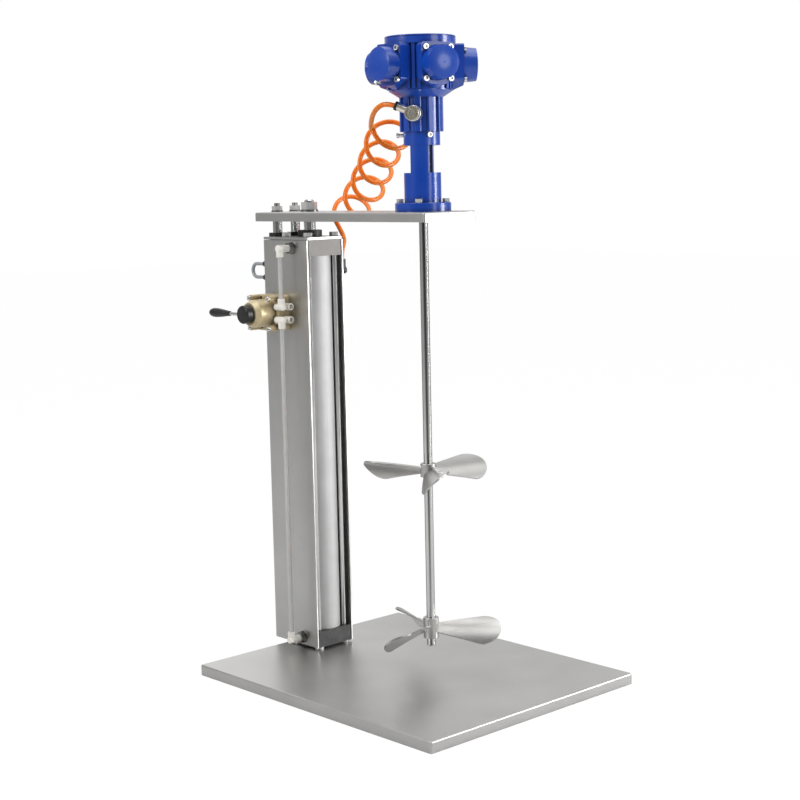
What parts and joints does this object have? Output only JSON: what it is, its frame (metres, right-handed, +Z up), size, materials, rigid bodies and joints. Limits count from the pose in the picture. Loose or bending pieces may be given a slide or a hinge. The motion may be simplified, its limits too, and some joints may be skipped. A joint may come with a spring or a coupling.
{
  "type": "tank agitator",
  "caption": "Free-standing pneumatic mixer: folded steel base, column with a lifting cylinder, and an arm with an air motor that turns a shaft with two propellers.",
  "frame": {"origin": "centre of the base tray's underside, on the floor", "axes": "+Z up, +X from the column towards the agitator shaft, +Y away from the lever valve"},
  "size_m": [0.646, 0.453, 1.033],
  "materials": {
    "stainless": "brushed folded sheet",
    "polished_steel": "ground and polished",
    "zinc_steel": "bright fasteners",
    "cap_grey": "dark anodised casting",
    "cap_black": "black casting",
    "tube_aluminium": "satin anodised",
    "motor_blue": "glossy paint",
    "black_plastic": "moulded",
    "white_plastic": "moulded",
    "valve_cast": "champagne lacquered casting",
    "nickel_brass": "nickel plated",
    "hose_orange": "translucent polyurethane",
    "tube_white": "translucent",
    "tube_grey": "extruded",
    "rubber_black": "moulded"
  },
  "bodies": {
    "frame": {"base_tray": "stainless", "base_stiffeners": "stainless", "foot_spacers": "zinc_steel", "foot_bolts": "zinc_steel", "column_shell": "stainless", "column_top_plate": "stainless", "plate_bolts": "zinc_steel", "cylinder_rear_cap": "cap_black", "cylinder_front_cap": "cap_grey", "cylinder_tube": "tube_aluminium", "tie_rods": "polished_steel", "guide_bushes": "black_plastic", "valve_body": "valve_cast", "valve_screws": "zinc_steel", "valve_bonnet": "valve_cast", "valve_elbows": "white_plastic", "valve_port_fittings": "white_plastic", "top_elbow": "white_plastic", "bottom_elbow": "white_plastic", "elbow_nuts": "nickel_brass", "upper_air_tube": "tube_white", "lower_air_tube": "tube_white", "loop_glands": "black_plastic", "rear_loop_tube": "tube_grey", "hose_elbow": "white_plastic", "motor_hose": "hose_orange"},
    "carriage": {"piston": "tube_aluminium", "piston_seals": "rubber_black", "piston_rod": "polished_steel", "guide_rods": "polished_steel", "arm_washers": "zinc_steel", "arm_nuts": "zinc_steel", "arm_tray": "stainless", "motor_stand": "motor_blue", "flange_bolts": "zinc_steel", "clamp_screws": "zinc_steel", "shaft_bearing": "polished_steel", "motor_neck": "motor_blue", "motor_housing": "motor_blue", "head_bolts": "zinc_steel", "motor_top_cover": "motor_blue", "inlet_fitting": "nickel_brass", "inlet_bolt": "nickel_brass", "release_ring": "black_plastic", "cylinder_head_1": "motor_blue", "cylinder_head_2": "motor_blue", "cylinder_head_3": "motor_blue", "cylinder_head_4": "motor_blue", "cylinder_head_5": "motor_blue"},
    "agitator": {"motor_spindle": "polished_steel", "agitator_shaft": "polished_steel", "shaft_coupling": "cap_black", "upper_propeller": "polished_steel", "lower_propeller": "polished_steel", "set_screws": "zinc_steel"},
    "valve_lever": {"valve_rotor": "nickel_brass", "valve_knob": "black_plastic", "lever_bar": "polished_steel", "lever_lock_screw": "zinc_steel", "lever_grip": "black_plastic"}
  },
  "joints": [
    {"name": "lift_slide", "type": "slide", "parent": "frame", "child": "carriage", "axis": [0, 0, 1], "range_m": [0, 0.6], "deforming": ["motor_hose"]},
    {"name": "shaft_spin", "type": "hinge", "parent": "carriage", "child": "agitator", "pos_m": [0.046, 0, 0.5], "axis": [0, 0, 1], "continuous": true},
    {"name": "lever_turn", "type": "hinge", "parent": "frame", "child": "valve_lever", "pos_m": [-0.271, -0.112, 0.597], "axis": [0, -1, 0], "range_deg": [-45, 45]}
  ]
}
